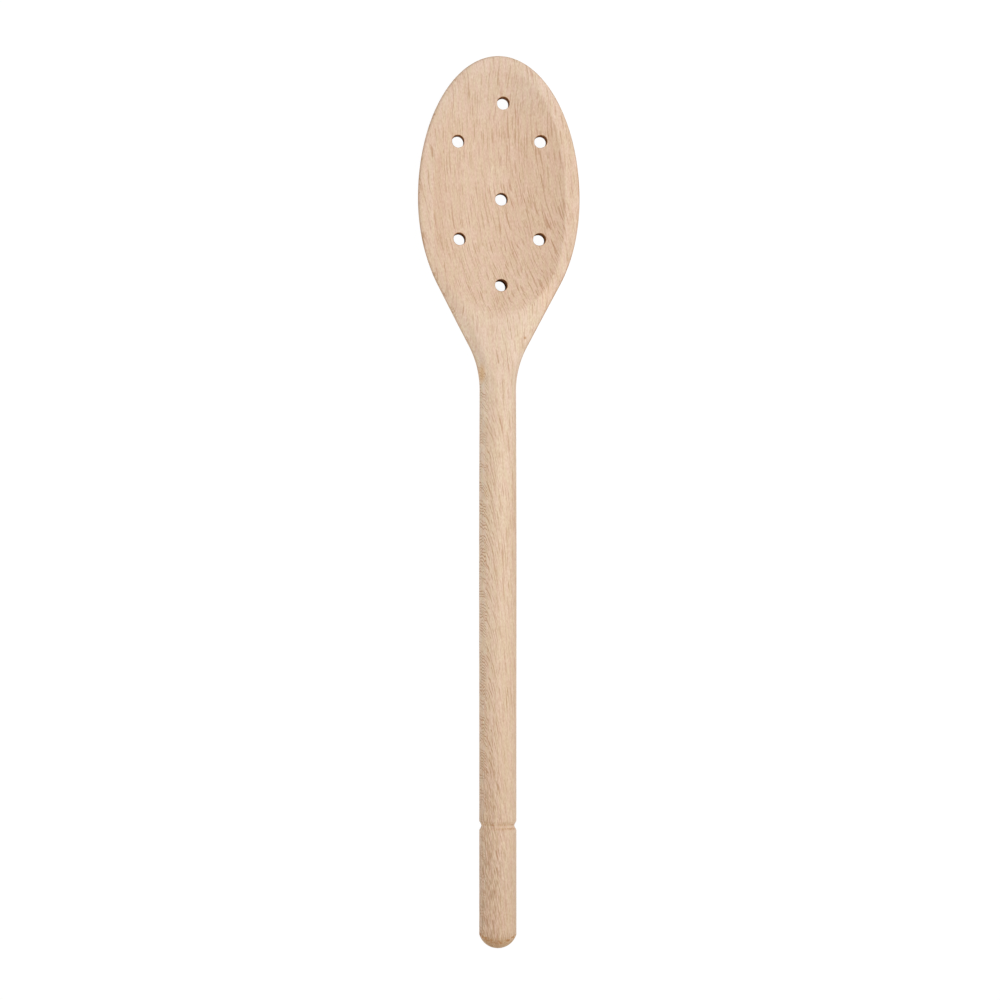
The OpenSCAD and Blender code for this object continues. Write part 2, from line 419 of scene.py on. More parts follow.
def hole_places():
    """Centres of the drain holes, x and y in mm."""
    for across, along in HOLE_PLACE_SHARES:
        yield across * BOWL_HALF, BOWL_Y + along * bowl_reach(BOWL_Y + along)


def drill(x0, y0):
    """The cutter for one drain hole. Its ends flare, to ease the hole's rims on both faces."""
    bore = bmesh.new()
    ring = bmesh.ops.create_circle(bore, segments=HOLE_FACETS, radius=1.0)["verts"]

    def settle(verts, grow, upper, drop):
        """Moves a ring to its width, and to a depth under the upper face or above the back."""
        for vert in verts:
            out = Vector((vert.co.x - x0 * MM, vert.co.y - y0 * MM)).normalized()
            x = x0 + out.x * (HOLE_D / 2 + grow)
            y = y0 + out.y * (HOLE_D / 2 + grow)
            level = top_z(x, WIDEST_Y - y) - drop if upper else back_z(x, WIDEST_Y - y) + drop
            vert.co = Vector((x, y, level)) * MM

    for vert in ring:
        vert.co = Vector((vert.co.x + x0 * MM, vert.co.y + y0 * MM, 0))
    turns = [FLARE_TURN * i / FLARE_STEPS for i in range(FLARE_STEPS + 1)]
    flare = [(HOLE_LIP * (1 - math.cos(turn)), HOLE_LIP * (1 - math.sin(turn))) for turn in turns]
    widest = flare[-1][0]
    profile = [(widest, False, -CUTTER_SPARE)]
    profile += [(grow, False, drop) for grow, drop in reversed(flare)]
    profile += [(grow, True, drop) for grow, drop in flare]
    profile += [(widest, True, -CUTTER_SPARE)]
    settle(ring, *profile[0])
    edges = list(bore.edges)
    bmesh.ops.contextual_create(bore, geom=edges)
    for stage in profile[1:]:
        made = bmesh.ops.extrude_edge_only(bore, edges=edges)
        verts = [g for g in made["geom"] if isinstance(g, bmesh.types.BMVert)]
        edges = [g for g in made["geom"] if isinstance(g, bmesh.types.BMEdge)
                 and all(v in verts for v in g.verts)]
        settle(verts, *stage)
    bmesh.ops.contextual_create(bore, geom=edges)
    bmesh.ops.recalc_face_normals(bore, faces=bore.faces)
    return bore


def as_object(shape, name):
    mesh = bpy.data.meshes.new(name)
    shape.to_mesh(mesh)
    shape.free()
    made = bpy.data.objects.new(name, mesh)
    bpy.context.scene.collection.objects.link(made)
    return made


def cut_holes(body, cutters):
    """Cuts the drain holes, and keeps the result as the body's own mesh."""
    for cutter in cutters:
        cut = body.modifiers.new("drain hole", "BOOLEAN")
        cut.operation = "DIFFERENCE"
        cut.solver = "EXACT"
        cut.object = cutter
    bpy.context.view_layer.update()
    done = bpy.data.meshes.new_from_object(body.evaluated_get(bpy.context.evaluated_depsgraph_get()))
    body.modifiers.clear()
    body.data = done
    for cutter in cutters:
        bpy.data.objects.remove(cutter)


OUTSIDE_BOWL = 2.0
FAR_FROM_EDGE = 9.0
EDGE_FADE = 6
WALL_FACING = 0.9
WALL_MARGIN = 0.8 * HOLE_LIP
SHARP_FROM = math.radians(35)


def mark_carving(mesh):
    """Stores where each point lies on the head, for the material.

    "bowl" is how far out in the bowl it is, 1 at the rim and 2 beyond the head's upper side.
    "edge" is its distance from the outline in mm, and 9 on the handle.
    """
    in_bowl = mesh.attributes.new("bowl", "FLOAT", "POINT")
    to_edge = mesh.attributes.new("edge", "FLOAT", "POINT")
    for vert, bowl, edge in zip(mesh.vertices, in_bowl.data, to_edge.data):
        x, y, z = vert.co / MM
        s = WIDEST_Y - y
        on_head = s < FILLET_END
        upper = on_head and z > (edge_level(s) + back_z(x, s)) / 2
        bowl.value = min(bowl_share(x, y), OUTSIDE_BOWL) if upper else OUTSIDE_BOWL
        inward = max(edge_distance(x, s), 0.0) if on_head else FAR_FROM_EDGE
        edge.value = mix(inward, FAR_FROM_EDGE, smooth((s - FILLET_END + EDGE_FADE) / EDGE_FADE))


def mark_walls(mesh):
    """Gives the walls of the drain holes the second material."""
    holes = list(hole_places())
    for face in mesh.polygons:
        x, y, z = face.center / MM
        if abs(face.normal.z) < WALL_FACING:
            near = min(math.hypot(x - hx, y - hy) for hx, hy in holes)
            if near < HOLE_D / 2 + WALL_MARGIN:
                face.material_index = 1


def make_spoon():
    body = as_object(roll_sheet(spoon_rings()), "beech_spoon")
    cut_holes(body, [as_object(drill(x, y), "drill") for x, y in hole_places()])
    mark_carving(body.data)
    body.data.shade_smooth()
    body.data.set_sharp_from_angle(angle=SHARP_FROM)
    return body


# Nodes


def node(tree, kind, **settings):
    made = tree.nodes.new("ShaderNode" + kind)
    for name, value in settings.items():
        setattr(made, name, value)
    return made


def feed(tree, socket, value):
    """Puts a plain value on a socket, or links another node's output to it."""
    if isinstance(value, bpy.types.NodeSocket):
        tree.links.new(value, socket)
    elif isinstance(value, tuple) and socket.type == "RGBA":
        socket.default_value = (*value, 1)
    else:
        socket.default_value = value


def calc(tree, operation, *values):
    made = node(tree, "Math", operation=operation)
    for socket, value in zip(made.inputs, values):
        feed(tree, socket, value)
    return made.outputs[0]


def times(tree, *shares):
    """The product of several values."""
    product = shares[0]
    for share in shares[1:]:
        product = calc(tree, "MULTIPLY", product, share)
    return product


def strongest(tree, *shares):
    """The largest of several values."""
    most = shares[0]
    for share in shares[1:]:
        most = calc(tree, "MAXIMUM", most, share)
    return most


def stretch(tree, place, scale, shift=(0, 0, 0)):
    made = node(tree, "VectorMath", operation="MULTIPLY_ADD")
    feed(tree, made.inputs[0], place)
    feed(tree, made.inputs[1], scale)
    feed(tree, made.inputs[2], shift)
    return made.outputs["Vector"]


def measured(tree, place, direction):
    """How far a place lies along a direction, whose length is the scale."""
    made = node(tree, "VectorMath", operation="DOT_PRODUCT")
    feed(tree, made.inputs[0], place)
    feed(tree, made.inputs[1], direction)
    return made.outputs["Value"]


def together(tree, x, y, z):
    made = node(tree, "CombineXYZ")
    for socket, value in zip(made.inputs, (x, y, z)):
        feed(tree, socket, value)
    return made.outputs[0]


def apart(tree, place):
    made = node(tree, "SeparateXYZ")
    feed(tree, made.inputs[0], place)
    return made.outputs["X"], made.outputs["Y"], made.outputs["Z"]


def in_mm(tree, place):
    """The x, y and z of a place, in mm."""
    return apart(tree, stretch(tree, place, (1 / MM, 1 / MM, 1 / MM)))


def ramp(tree, value, low, high, start=0.0, end=1.0):
    """Goes softly from start to end as the value goes from low to high."""
    made = node(tree, "MapRange", interpolation_type="SMOOTHSTEP")
    for socket, part in zip(made.inputs, (value, low, high, start, end)):
        feed(tree, socket, part)
    return made.outputs["Result"]


def band(tree, value, level, near, far, most=1.0):
    """A soft stripe about a level: the most within near of it, and nothing beyond far."""
    off = calc(tree, "ABSOLUTE", calc(tree, "SUBTRACT", value, level))
    return ramp(tree, off, far, near, 0.0, most)


SPOT_CORE = 0.35


def spot(tree, place, centre, size):
    """A soft round or long spot about a centre, both in mm."""
    moved = stretch(tree, place, tuple(1 / MM / part for part in size),
                    tuple(-at / part for at, part in zip(centre, size)))
    length = node(tree, "VectorMath", operation="LENGTH")
    feed(tree, length.inputs[0], moved)
    return ramp(tree, length.outputs["Value"], SPOT_CORE, 1.0, 1.0, 0.0)


def blend(tree, share, first, second, kind="MIX"):
    made = node(tree, "Mix", data_type="RGBA", blend_type=kind)
    feed(tree, made.inputs["Factor"], share)
    colours = [socket for socket in made.inputs if socket.type == "RGBA"]
    feed(tree, colours[0], first)
    feed(tree, colours[1], second)
    return [socket for socket in made.outputs if socket.type == "RGBA"][0]


def tinted(tree, colour, share, tint):
    """A colour multiplied by a tint where the share is 1."""
    return blend(tree, share, colour, tint, "MULTIPLY")


def noise(tree, place, detail=2.0, roughness=0.5):
    made = node(tree, "TexNoise", noise_dimensions="3D")
    feed(tree, made.inputs["Vector"], place)
    made.inputs["Scale"].default_value = 1.0
    made.inputs["Detail"].default_value = detail
    made.inputs["Roughness"].default_value = roughness
    return made.outputs[0]


def grain(tree, wood, size, shift=(0, 0, 0), detail=1.0, roughness=0.5):
    """Noise in marks of a size in mm: across the grain, along it and out from the heart."""
    return noise(tree, stretch(tree, wood, tuple(1 / part for part in size), shift), detail, roughness)


def lenses(tree, wood, size, shift, low, high, level=0.0):
    """Thin lens-shaped marks, where a drawn-out noise and a level added to it rise above a limit."""
    return ramp(tree, calc(tree, "ADD", grain(tree, wood, size, shift, 0.0), level), low, high)


def ridges(tree, value, spacing, low, high):
    """Thin lines, one for every step of the value."""
    return ramp(tree, calc(tree, "SINE", times(tree, value, 2 * math.pi / spacing)), low, high)


def around_handle(tree, x, z):
    """Distance round the handle from its top line, in mm."""
    turn = calc(tree, "ARCTAN2", x, calc(tree, "SUBTRACT", z, AXIS_Z))
    return times(tree, turn, GRIP_D / 2)


def new_group(name, inputs, outputs):
    tree = bpy.data.node_groups.new(name, "ShaderNodeTree")
    for label, kind in inputs:
        tree.interface.new_socket(name=label, in_out="INPUT", socket_type="NodeSocket" + kind)
    for label, kind in outputs:
        tree.interface.new_socket(name=label, in_out="OUTPUT", socket_type="NodeSocket" + kind)
    return tree, tree.nodes.new("NodeGroupInput"), tree.nodes.new("NodeGroupOutput")


# The beech through the solid. Its places and sizes are in mm

# The rays of the wood stand in sheets that hold the grain and this direction, turned from
# straight up towards the right
RAY_TILT = math.radians(40)
GRAIN_LEAN = math.radians(5.5)

PALE_BEECH = (0.803, 0.599, 0.446)
ROSY_BEECH = (0.767, 0.558, 0.403)
FLECK_BROWN = (0.405, 0.165, 0.060)
RUST_SPECK = (0.500, 0.240, 0.090)
YELLOWER = (0.988, 1.008, 0.972)
PINKER = (1.012, 0.991, 1.028)
# How much red, green and blue change with the tone
TONE_SHARES = (0.56, 1.0, 1.33)

# Noise that bends the grain, in steps to a metre, and how far it bends it
WANDER = (30, 22, 30)
WANDER_REACH = 3.0
RIPPLE = (300, 80, 300)
RIPPLE_REACH = 0.6

# Sizes of the marks across the grain, along it and out from the heart
GROWTH_BAND = (26, 130, 2.2)
BLOTCH = (5, 75, 5)
DRIFT = (1.0, 6.5, 1.0)
FIBRE = (0.6, 18, 0.6)
PORE = (0.32, 1.0, 0.32)
BOLD_RAY = (0.29, 10, 3.0)
HAIR_RAY = (0.24, 6, 2.0)
SPLIT = (0.3, 7.5, 2.5)
SHORT_RAY = (0.26, 5.5, 1)
JOG = (1.3, 4.0, 1.3)
FINE_SCALE_PATCH = (3.4, 1.2, 1)
BROAD_SCALE_PATCH = (4.2, 0.8, 1)

BOLD_STRENGTH = 0.44
HAIR_STRENGTH = 0.31
SPLIT_STRENGTH = 0.58
SHORT_STRENGTH = 0.48
FINE_SCALE_STRENGTH = 0.66
BROAD_SCALE_STRENGTH = 0.58
FINE_SCALE_SPACING = 1.0
BROAD_SCALE_SPACING = 2.9
SHORT_RAY_LEAN = 0.16
HANDLE_LEFT_LOSS = 0.7

# The curled scales follow a curve that is level this far left of the handle's middle
CURL_LEFT = 6.1
CURL_BEND = 0.475
CURL_WANDER = 14.0
CURL_JOG = 2.6
SIDE_DEPTH_SHARE = 0.6


def in_the_wood(tree, place, y, wander):
    """A place in the wood's own directions: across the sheets of rays, along the grain and outward."""
    c, s = math.cos(RAY_TILT) / MM, math.sin(RAY_TILT) / MM
    ripple = noise(tree, stretch(tree, place, RIPPLE, (5, 3, 8)), 0.0)
    bent = calc(tree, "MULTIPLY_ADD", wander, WANDER_REACH, ramp(tree, y, 60, 108, -1.5, 1.2))
    bent = calc(tree, "MULTIPLY_ADD", ripple, RIPPLE_REACH, bent)
    across = measured(tree, place, (c, math.tan(GRAIN_LEAN) / MM, -s))
    outward = measured(tree, place, (s, 0, c))
    return together(tree, calc(tree, "ADD", across, bent), y, outward)


def standing_rays(tree, wood, blotches, crowding, x, y):
    """Rays that stand on edge, which show as thin dark lines, and a few deep splits among them."""
    level = calc(tree, "ADD", ramp(tree, crowding, 0.0, 1.0, -0.032, -0.006),
                 ramp(tree, blotches, 0.3, 0.7, -0.005, 0.003))
    bold = lenses(tree, wood, BOLD_RAY, (3, 8, 1), 0.655, 0.69, level)
    hairs = lenses(tree, wood, HAIR_RAY, (11, 6, 5), 0.635, 0.675, level)
    splits = lenses(tree, wood, SPLIT, (8, 1, 4), 0.75, 0.775)
    lines = calc(tree, "MULTIPLY_ADD", bold, BOLD_STRENGTH, times(tree, hairs, HAIR_STRENGTH))
    lines = strongest(tree, lines, times(tree, splits, SPLIT_STRENGTH))
    by_crowd = ramp(tree, crowding, 0.0, 1.0, 0.80, 0.85)
    by_length = ramp(tree, y, -60, -100, 1.0, 0.35)
    handle_left = times(tree, ramp(tree, y, 62, 48), ramp(tree, x, -3.6, 0.0, 1.0, 0.0))
    by_side = calc(tree, "MULTIPLY_ADD", handle_left, -HANDLE_LEFT_LOSS, 1.0)
    return times(tree, lines, by_crowd, by_length, by_side)


def short_rays(tree, x, y, z):
    """Low on the handle the rays are shorter and lean to the right."""
    leaning = calc(tree, "MULTIPLY_ADD", y, SHORT_RAY_LEAN, around_handle(tree, x, z))
    short = lenses(tree, together(tree, leaning, y, 0.0), SHORT_RAY, (1, 6, 2), 0.625, 0.665)
    return times(tree, short, ramp(tree, y, -40, -95, 0.0, SHORT_STRENGTH),
                 ramp(tree, x, -2.5, 3.0, 1.0, 0.38))


def curled_rays(tree, wood, wander, x, y, z):
    """On the handle's left the rays lie flat in the surface, in scales that curl down to the right."""
    jog = grain(tree, wood, JOG, (2, 2, 7))
    from_left = calc(tree, "ADD", x, CURL_LEFT)
    curl = times(tree, from_left, CURL_BEND, from_left)
    curl = calc(tree, "ADD", curl, calc(tree, "MULTIPLY_ADD", wander, CURL_WANDER, y))
    curl = calc(tree, "MULTIPLY_ADD", jog, CURL_JOG, curl)
    side = calc(tree, "SUBTRACT", x, times(tree, z, SIDE_DEPTH_SHARE))
    fine_patch = grain(tree, together(tree, curl, side, 0.0), FINE_SCALE_PATCH)
    broad_patch = grain(tree, together(tree, curl, side, 3.0), BROAD_SCALE_PATCH)
    fine = times(tree, ridges(tree, curl, FINE_SCALE_SPACING, 0.1, 0.75),
                 ramp(tree, fine_patch, 0.40, 0.54),
                 ramp(tree, x, -4.5, -3.0, FINE_SCALE_STRENGTH, 0.0))
    broad = times(tree, ridges(tree, curl, BROAD_SCALE_SPACING, 0.5, 0.88),
                  ramp(tree, broad_patch, 0.42, 0.55),
                  ramp(tree, x, -5.0, -4.0, 0.0, 1.0),
                  ramp(tree, x, -2.2, 1.2, BROAD_SCALE_STRENGTH, 0.0),
                  ramp(tree, y, 44, 20))
    on_handle = times(tree, ramp(tree, y, 52, 36), ramp(tree, y, -84, -108, 1.0, 0.38))
    return times(tree, strongest(tree, fine, broad), on_handle)


def toned(tree, colour, tone):
    """A colour made lighter or darker by a tone, redder where it is darker, as wood is."""
    shades = node(tree, "CombineColor")
    for socket, share in zip(shades.inputs[:3], TONE_SHARES):
        feed(tree, socket, calc(tree, "MULTIPLY_ADD", tone, share, 1.0))
    return tinted(tree, colour, 1.0, shades.outputs[0])


def ground_colour(tree, wood, blotches, fibres, drift):
    """The colour of the wood between its rays."""
    bands = grain(tree, wood, GROWTH_BAND, detail=2.0, roughness=0.6)
    pores = grain(tree, wood, PORE, (1, 9, 3), roughness=0.6)
    rosy = calc(tree, "ADD", ramp(tree, bands, 0.36, 0.64, 0.0, 0.6),
                ramp(tree, blotches, 0.3, 0.7, 0.0, 0.4))
    tone = calc(tree, "ADD", ramp(tree, fibres, 0.25, 0.75, -0.05, 0.05),
                ramp(tree, pores, 0.25, 0.75, 0.105, -0.105))
    ground = toned(tree, blend(tree, rosy, PALE_BEECH, ROSY_BEECH), tone)
    return tinted(tree, ground, 1.0, blend(tree, ramp(tree, drift, 0.35, 0.65), YELLOWER, PINKER))


def beech_figure():
    """Rays, fibres and growth bands of solid beech, cut by whatever surface it is put on."""
    tree, given, result = new_group(
        "beech figure",
        [("Place", "Vector"), ("Coarseness", "Float"), ("Crowding", "Float")],
        [("Color", "Color"), ("Rays", "Float"), ("Fibres", "Float")],
    )
    place = given.outputs["Place"]
    x, y, z = in_mm(tree, place)
    wander = noise(tree, stretch(tree, place, WANDER), 1.0)
    wood = in_the_wood(tree, place, y, wander)
    blotches = grain(tree, wood, BLOTCH, (7, 2, 4), detail=2.0)
    drift = grain(tree, wood, DRIFT, (4, 1, 6))
    fibres = grain(tree, wood, FIBRE, detail=3.0, roughness=0.66)

    standing = standing_rays(tree, wood, blotches, given.outputs["Crowding"], x, y)
    curled = curled_rays(tree, wood, wander, x, y, z)
    rays = strongest(tree, standing, curled, short_rays(tree, x, y, z))
    rays = times(tree, rays, given.outputs["Coarseness"])

    ground = ground_colour(tree, wood, blotches, fibres, drift)
    fleck = blend(tree, ramp(tree, drift, 0.45, 0.65, 0.0, 0.3), FLECK_BROWN, RUST_SPECK)
    feed(tree, result.inputs["Color"], blend(tree, rays, ground, fleck))
    feed(tree, result.inputs["Rays"], rays)
    feed(tree, result.inputs["Fibres"], fibres)
    return tree


RELIEF_STRENGTH = 0.3
RELIEF_DEPTH = 0.00002
RAY_RELIEF = 0.5


def start_material(name, figure):
    """A new material with the beech figure in it, on the spoon's own coordinates."""
    made = bpy.data.materials.new(name)
    made.use_nodes = True
    tree = made.node_tree
    shader = tree.nodes["Principled BSDF"]
    coords = node(tree, "TexCoord").outputs
    wood = node(tree, "Group", node_tree=figure)
    feed(tree, wood.inputs["Place"], coords["Object"])
    wood.inputs["Coarseness"].default_value = 1.0
    wood.inputs["Crowding"].default_value = 0.5
    return made, tree, shader, coords, wood


def sand_finish(tree, shader, wood, roughness):
    """Fine fibre relief with the rays a little sunk in it, and a roughness that varies with the fibres."""
    bump = node(tree, "Bump")
    bump.inputs["Strength"].default_value = RELIEF_STRENGTH
    bump.inputs["Distance"].default_value = RELIEF_DEPTH
    sunk = times(tree, wood.outputs["Rays"], RAY_RELIEF)
    relief = calc(tree, "SUBTRACT", wood.outputs["Fibres"], sunk)
    feed(tree, bump.inputs["Height"], relief)
    feed(tree, shader.inputs["Normal"], bump.outputs[0])
    uneven = ramp(tree, wood.outputs["Fibres"], 0.25, 0.75, roughness - 0.05, roughness + 0.06)
    feed(tree, shader.inputs["Roughness"], uneven)


# The sanded outside. A tint multiplies the colour of the wood; some tints are painted light or painted shade

# Painted shade in the bowl, darkest on its right wall
PAINTED_BOWL_SHADE = (0.95, 0.92, 0.895)
# Painted shade on the head's left and painted light on its right, the side the light comes from
HEAD_LEFT_PAINTED_SHADE = (0.98, 0.98, 0.975)
HEAD_RIGHT_PAINTED_LIGHT = (1.03, 1.035, 1.035)
TIP_TINT = (1.0, 1.022, 1.05)
TIP_SHADE = (0.978, 0.98, 0.985)
HEEL_PATCH = (1.09, 1.10, 1.10)
NECK_TINT = (1.035, 1.065, 1.08)
NECK_RIGHT_TINT = (1.05, 1.075, 1.08)
# Painted light on the left flank's rounded edge, lifting the shade where it turns away
FLANK_EDGE_PAINTED_LIGHT = (1.11, 1.15, 1.15)
# Painted shade in a band beside the left flank's edge
FLANK_SHADE = (0.94, 0.93, 0.93)
SCORCHED_SPOT = (0.94, 0.80, 0.60)
# Painted light on the grip's shaded left side
GRIP_LEFT_PAINTED_LIGHT = (1.07, 1.07, 1.06)
UPPER_LEFT_TINT = (1.03, 1.055, 1.07)
HANDLE_TINT = (1.0, 0.993, 0.968)
# Painted cool shade on the side of the grip that faces left
HANDLE_SIDE_PAINTED_SHADE = (0.96, 1.02, 1.06)
HANDLE_RIGHT_SHADE = (0.98, 0.965, 0.955)
# Painted light on the lower handle's right edge
LOW_RIGHT_PAINTED_LIGHT = (1.03, 1.05, 1.055)
LOW_HANDLE_SHADE = (0.965, 0.948, 0.94)
BUTT_SHADE = (0.965, 0.965, 0.965)
LOW_BUTT_SHADE = (0.972, 0.945, 0.925)
STAIN = (0.81, 0.75, 0.71)
END_GRAIN_SHADE = (0.90, 0.82, 0.66)
# Painted shade on the groove's upper flank and painted light on its lower slope
GROOVE_UPPER_PAINTED_SHADE = (1.0, 0.995, 0.955)
GROOVE_LOWER_PAINTED_LIGHT = (1.015, 1.03, 1.035)

SANDED_SPECULAR = 0.18
SANDED_ROUGHNESS = 0.62
STAIN_LEAN = 0.17
STAIN_STREAKS = (3.1, 0.30, 1)
KNOT_STRENGTH = 0.7
FLANK_BURN_STRENGTH = 0.35
DOME_RING_Y = -147.5
DOME_RING_BEND = 0.06

# Noise of the marks, in steps to a metre
MOTTLE = (1400, 330, 1400)
BROKEN_LINE = (1400, 300, 1400)
RUST_PATCH = (1250, 900, 1250)


def ray_crowding(tree, x, y, carved):
    """The rays are thickest where the bowl cuts through them on its right side."""
    crowd = times(tree, ramp(tree, x, -9, 7), calc(tree, "MULTIPLY_ADD", carved, 0.75, 0.25),
                  ramp(tree, y, 142, 128, 0.2, 1.0))
    return strongest(tree, crowd, ramp(tree, y, 46, 20, 0.0, 0.4))


def painted_bowl_shade(tree, x, y, carved):
    """Painted shade on the bowl's walls and floor, most of all on the right wall, which faces away from the
    light.
    """
    right_wall = times(tree, ramp(tree, x, 5, 19), ramp(tree, y, 76, 98, 0.3, 1.0),
                       ramp(tree, y, 142, 126, 0.35, 1.0))
    left_wall = times(tree, ramp(tree, x, -17.0, -20.0, 0.0, 0.75), ramp(tree, y, 76, 90),
                      ramp(tree, y, 122, 108))
    floor = times(tree, ramp(tree, x, -9, 1, 0.32, 0.66), ramp(tree, y, 62.8, 66.0, 0.15, 1.0))
    return times(tree, carved, calc(tree, "ADD", strongest(tree, right_wall, left_wall), floor))


def head_tints(tree, where, x, y, edge):
    """The head is palest on its right, with painted light there and painted shade on its left; the neck is
    paler still, and its left flank has painted light on the edge and painted shade beside it.
    """
    on_head = ramp(tree, y, 62, 74)
    # Painted light along the left flank's edge of the neck
    lit_neck_edge = times(tree, ramp(tree, x, -5.0, -7.5), ramp(tree, y, 94, 78), ramp(tree, edge, 1.8, 0.3))
    # Painted shade beside the left flank's edge, where the neck turns rounder
    shaded_beside_edge = times(tree, band(tree, edge, 2.6, 0.6, 1.6), ramp(tree, x, -3.5, -5.0),
                        ramp(tree, y, 66, 50), ramp(tree, y, 43, 47))
    return [
        # Painted shade on the head's left, painted light on its right
        (times(tree, on_head, ramp(tree, x, 0, -20)), HEAD_LEFT_PAINTED_SHADE),
        (times(tree, on_head, ramp(tree, x, 8, 18)), HEAD_RIGHT_PAINTED_LIGHT),
        (ramp(tree, y, 122, 140), TIP_TINT),
        (spot(tree, where, (8.0, 137.0, 8.0), (7.0, 9.0, 14.0)), TIP_SHADE),
        (spot(tree, where, (16.0, 68.0, 9.0), (3.6, 8.0, 8.0)), HEEL_PATCH),
        (ramp(tree, y, 70, 56), NECK_TINT),
        (spot(tree, where, (10.0, 58.0, 9.0), (7.0, 24.0, 12.0)), NECK_RIGHT_TINT),
        (lit_neck_edge, FLANK_EDGE_PAINTED_LIGHT),
        (shaded_beside_edge, FLANK_SHADE),
        (spot(tree, where, (-5.5, 43.2, 8.0), (1.7, 5.0, 5.0)), SCORCHED_SPOT),
    ]


def handle_tints(tree, where, x, y, facing, mottle):
    """The grip is pale at its top and on its left, where painted light lifts the shade, with painted cool
    shade on the side that faces left and painted light on the lower right edge; the handle darkens towards
    the butt.
    """
    # Painted cool shade, mottled, where the grip faces left
    mottled_shaded_side = times(tree, ramp(tree, facing[0], -0.55, -0.85), ramp(tree, mottle, 0.45, 0.6))
    return [
        # Painted light lifting the shade on the grip's left
        (times(tree, ramp(tree, x, -2.6, -4.6), ramp(tree, y, 50, 36)), GRIP_LEFT_PAINTED_LIGHT),
        (spot(tree, where, (-6.0, 30.0, 8.0), (4.5, 28.0, 9.0)), UPPER_LEFT_TINT),
        (ramp(tree, y, 44, 20), HANDLE_TINT),
        (times(tree, mottled_shaded_side, ramp(tree, y, 50, 38)), HANDLE_SIDE_PAINTED_SHADE),
        (times(tree, ramp(tree, x, 2.6, 4.6), ramp(tree, y, 18, 2)), HANDLE_RIGHT_SHADE),
        # Painted light lifting the shade on the lower handle's right edge
        (times(tree, ramp(tree, x, 1.0, 5.0), ramp(tree, y, -25, -65)), LOW_RIGHT_PAINTED_LIGHT),
        (ramp(tree, y, -30, -85), LOW_HANDLE_SHADE),
    ]


def butt_tints(tree, x, y, z, facing):
    """The butt has leaning stains on its left, and its dome shows darker end grain; the groove has painted
    shade on its upper flank and painted light on its lower slope and lip.
    """
    leaning = calc(tree, "MULTIPLY_ADD", y, STAIN_LEAN, around_handle(tree, x, z))
    fine = noise(tree, stretch(tree, together(tree, leaning, y, 0.0), STAIN_STREAKS, (5, 2, 0)), 0.0)
    stained = times(tree, ramp(tree, x, 5.2, -3.4, 0.1, 1.0), ramp(tree, fine, 0.42, 0.58),
                    ramp(tree, y, -74, -110))
    ends = times(tree, ramp(tree, calc(tree, "ABSOLUTE", facing[1]), 0.15, 0.75),
                 ramp(tree, y, -130, -138, 0.05, 1.0))
    # Painted shade where the groove's upper flank faces away, painted light on its lower slope
    shaded_groove_upper = times(tree, band(tree, y, GROOVE_Y, 1.6, 2.2), ramp(tree, facing[1], -0.1, -0.4))
    lit_groove_lower = times(tree, band(tree, y, GROOVE_Y - 2.0, 0.8, 2.4), ramp(tree, x, -6.0, -2.0))
    return [
        (ramp(tree, y, -114, -122), BUTT_SHADE),
        (ramp(tree, y, -125, -141), LOW_BUTT_SHADE),
        (stained, STAIN),
        (ends, END_GRAIN_SHADE),
        (shaded_groove_upper, GROOVE_UPPER_PAINTED_SHADE),
        (lit_groove_lower, GROOVE_LOWER_PAINTED_LIGHT),
    ]


def rust_and_shade_marks(tree, where, x, y, edge, facing, mottle):
    """Rust-coloured marks: the outline of the head, partly painted shade where its edge turns away, the
    neck, the groove, partly painted shade along its floor, and the rim of the dome.
    """
    # The head's outline line is partly end grain and partly painted shade where the rounded edge turns away
    outline = times(tree, ramp(tree, edge, 0.12, 0.5, 1.0, 0.0), ramp(tree, x, 6, 12, 0.5, 0.8),
                    ramp(tree, y, 92, 78, 0.65, 1.0), ramp(tree, facing[2], -0.25, 0.0),
                    ramp(tree, mottle, 0.3, 0.6, 0.5, 1.0))
    torn_flank = times(tree, ramp(tree, edge, 1.8, 0.4), ramp(tree, x, -5.5, -7.5),
                       ramp(tree, y, 92, 82), ramp(tree, mottle, 0.54, 0.62, 0.0, 0.4))
    knot = times(tree, spot(tree, where, (8.8, 54.8, 9.0), (0.8, 0.7, 3.0)), KNOT_STRENGTH)
    flank_burn = times(tree, spot(tree, where, (-10.2, 52.0, 8.5), (1.0, 4.0, 3.0)), FLANK_BURN_STRENGTH)

    # In the groove, broken lines along its floor, partly painted shade, and along its lower lip
    broken = noise(tree, stretch(tree, where, BROKEN_LINE, (1, 4, 2)), 0.0)
    dashes = ramp(tree, broken, 0.46, 0.54, 0.35, 1.0)
    shaded_floor_line = times(tree, band(tree, y, GROOVE_Y + 0.5, 0.1, 0.4, 0.7), dashes)
    lip_line = times(tree, band(tree, y, GROOVE_Y - 0.85, 0.15, 0.5, 0.6), dashes,
                     ramp(tree, x, -3.5, 1.5, 0.2, 1.0))

    # Round the dome, a bent row of patches
    patchy = noise(tree, stretch(tree, where, RUST_PATCH, (3, 7, 1)), 0.0)
    ring = calc(tree, "MULTIPLY_ADD", times(tree, x, x), -DOME_RING_BEND, y)
    dome_rim = times(tree, band(tree, ring, DOME_RING_Y, 0.3, 0.9), ramp(tree, patchy, 0.50, 0.57, 0.0, 0.9))

    mottled = times(tree, strongest(tree, flank_burn, shaded_floor_line), ramp(tree, mottle, 0.42, 0.6, 0.08, 1.0))
    return strongest(tree, mottled, dome_rim, lip_line, torn_flank, knot, outline)


